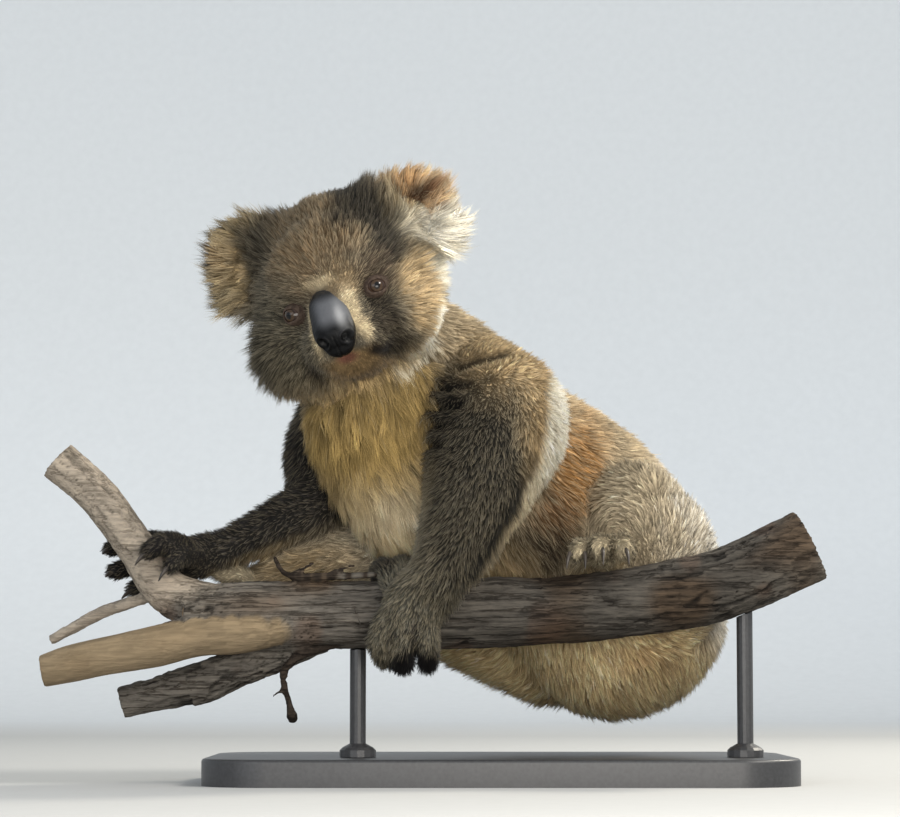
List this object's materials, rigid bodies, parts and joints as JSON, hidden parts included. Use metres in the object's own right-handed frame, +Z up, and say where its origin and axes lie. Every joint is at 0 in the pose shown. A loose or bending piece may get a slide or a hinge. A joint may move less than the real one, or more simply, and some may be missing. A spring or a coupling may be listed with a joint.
{
  "type": "koala",
  "caption": "Life-size koala gripping a short forked limb, head turned to the viewer, on a plain display stand.",
  "frame": {"origin": "centre of the display base's underside", "axes": "+Z up, the koala's face looks along -Y and a little towards -X, +X towards the koala's left along the limb"},
  "size_m": [0.5834, 0.3339, 0.4562],
  "materials": {
    "fur": "dense grey-brown fur, cream on the chest and underside",
    "nose_leather": "bare, finely pebbled, with a soft sheen",
    "eye_surface": "wet and clear over a brown iris",
    "claw_horn": "dark horn, satin",
    "bark": "weathered grey-brown bark, rough, one limb bare and pale",
    "stand_paint": "black satin"
  },
  "bodies": {
    "root": {"chest": "fur", "claw_foot_left_2": "claw_horn", "claw_foot_left_3": "claw_horn", "claw_foot_left_4": "claw_horn", "claw_foot_left_5": "claw_horn", "claw_foot_right_2": "claw_horn", "claw_foot_right_3": "claw_horn", "claw_foot_right_4": "claw_horn", "claw_foot_right_5": "claw_horn", "claw_hand_left_1": "claw_horn", "claw_hand_left_2": "claw_horn", "claw_hand_left_3": "claw_horn", "claw_hand_left_4": "claw_horn", "claw_hand_left_5": "claw_horn", "claw_hand_right_1": "claw_horn", "claw_hand_right_2": "claw_horn", "claw_hand_right_3": "claw_horn", "claw_hand_right_4": "claw_horn", "claw_hand_right_5": "claw_horn", "ear_left": "fur", "ear_right": "fur", "eye_left": "eye_surface", "eye_right": "eye_surface", "foot_left": "fur", "foot_right": "fur", "forearm_left": "fur", "forearm_right": "fur", "hand_left": "fur", "hand_right": "fur", "head": "fur", "neck": "fur", "nose": "nose_leather", "perch_dead_limb": "bark", "perch_fork": "bark", "perch_left": "bark", "perch_middle": "bark", "perch_pale_limb": "bark", "perch_right": "bark", "perch_twig": "bark", "rump": "fur", "shin_left": "fur", "shin_right": "fur", "stand_base": "stand_paint", "stand_rod_left": "stand_paint", "stand_rod_right": "stand_paint", "thigh_left": "fur", "thigh_right": "fur", "upper_arm_left": "fur", "upper_arm_right": "fur"}
  },
  "joints": []
}
